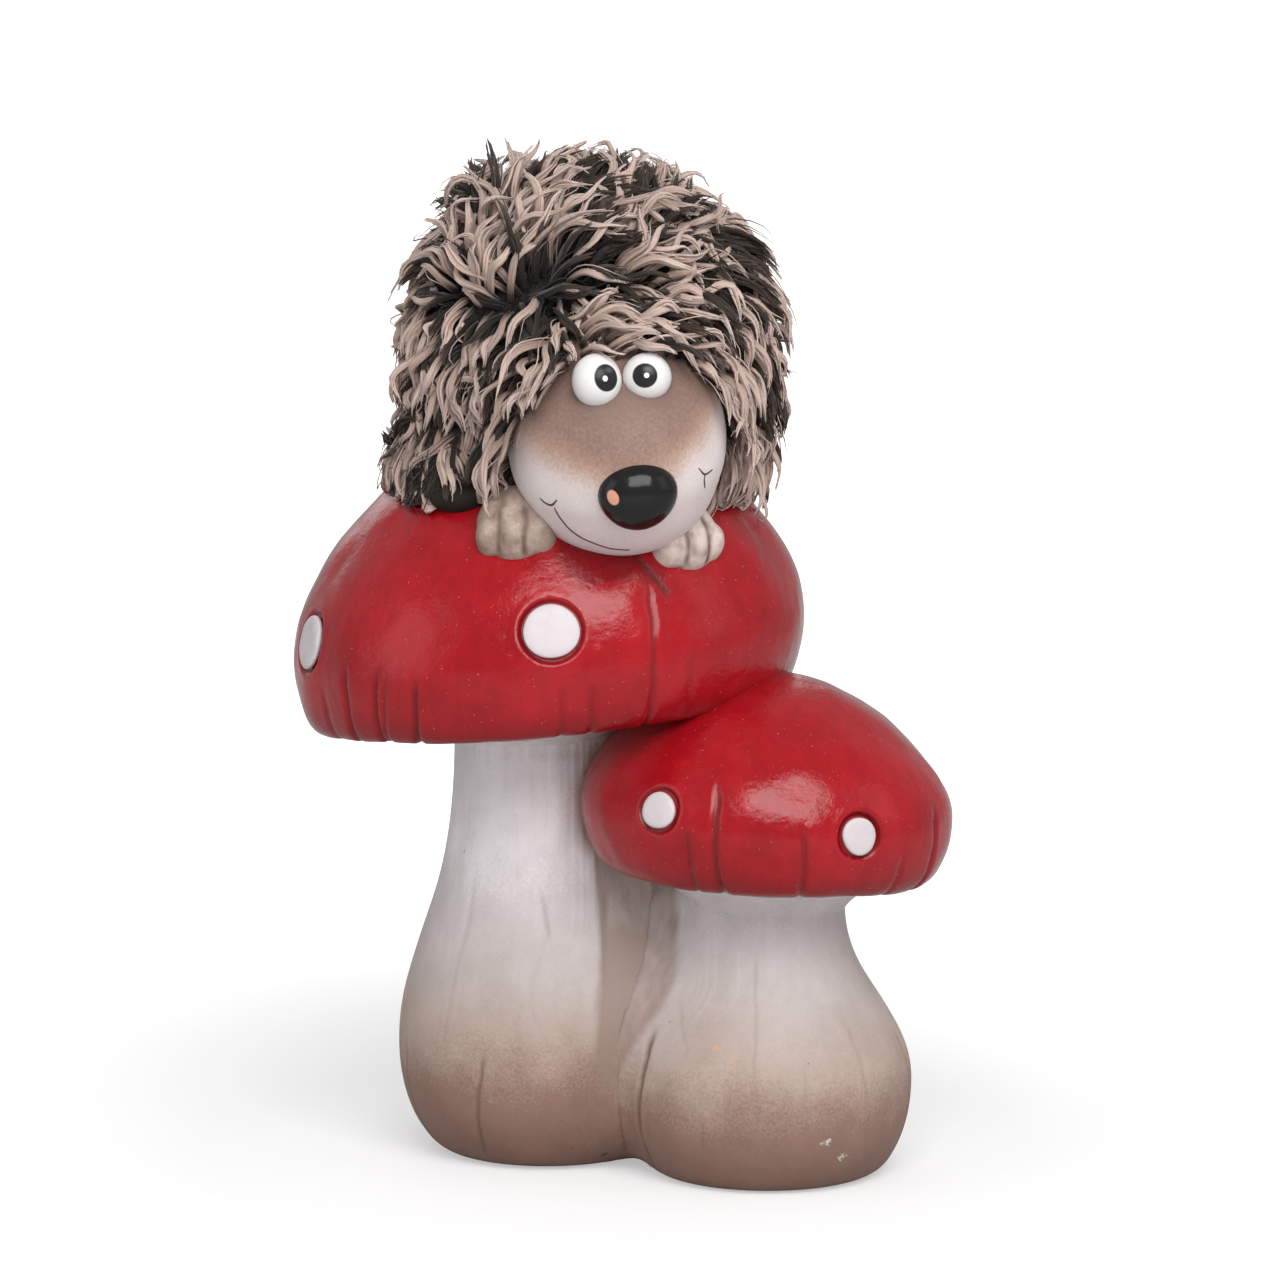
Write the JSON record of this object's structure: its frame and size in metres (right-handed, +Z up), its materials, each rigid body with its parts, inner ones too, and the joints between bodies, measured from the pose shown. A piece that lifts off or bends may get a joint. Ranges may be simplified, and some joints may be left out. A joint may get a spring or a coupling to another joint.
{
  "type": "hedgehog figurine",
  "caption": "Earthenware ornament of a hedgehog with a plush coat lying on the larger of two spotted red toadstools.",
  "frame": {"origin": "middle of the outline in plan, on the floor that the feet stand on", "axes": "+Z up; the hedgehog looks towards -Y, turned a little to +X; +X to the right of the face as seen from the front"},
  "size_m": [0.1549, 0.134, 0.2408],
  "materials": {
    "stalk": "matt cream paint, sprayed brown towards the foot",
    "red_glaze": "glossy red glaze",
    "spot_white": "satin white paint",
    "body_black": "matt black paint",
    "face_paint": "matt brown paint fading to a pale muzzle",
    "eye_white": "satin white paint with painted pupils",
    "nose_black": "glossy black paint",
    "plush_cloth": "dark knitted ground cloth",
    "plush_pile": "long beige pile with dark roots"
  },
  "bodies": {
    "root": {"large_stem": "stalk", "small_stem": "stalk", "large_cap": "red_glaze", "small_cap": "red_glaze", "large_cap_spot_1": "spot_white", "large_cap_spot_2": "spot_white", "large_cap_spot_3": "spot_white", "large_cap_spot_4": "spot_white", "small_cap_spot_1": "spot_white", "small_cap_spot_2": "spot_white", "small_cap_spot_3": "spot_white", "small_cap_spot_4": "spot_white", "hedgehog_body": "body_black", "hedgehog_head": "face_paint", "left_eye": "eye_white", "right_eye": "eye_white", "nose": "nose_black", "left_paw": "face_paint", "right_paw": "face_paint", "plush_backing": "plush_cloth", "plush_pile": "plush_pile"}
  },
  "joints": []
}
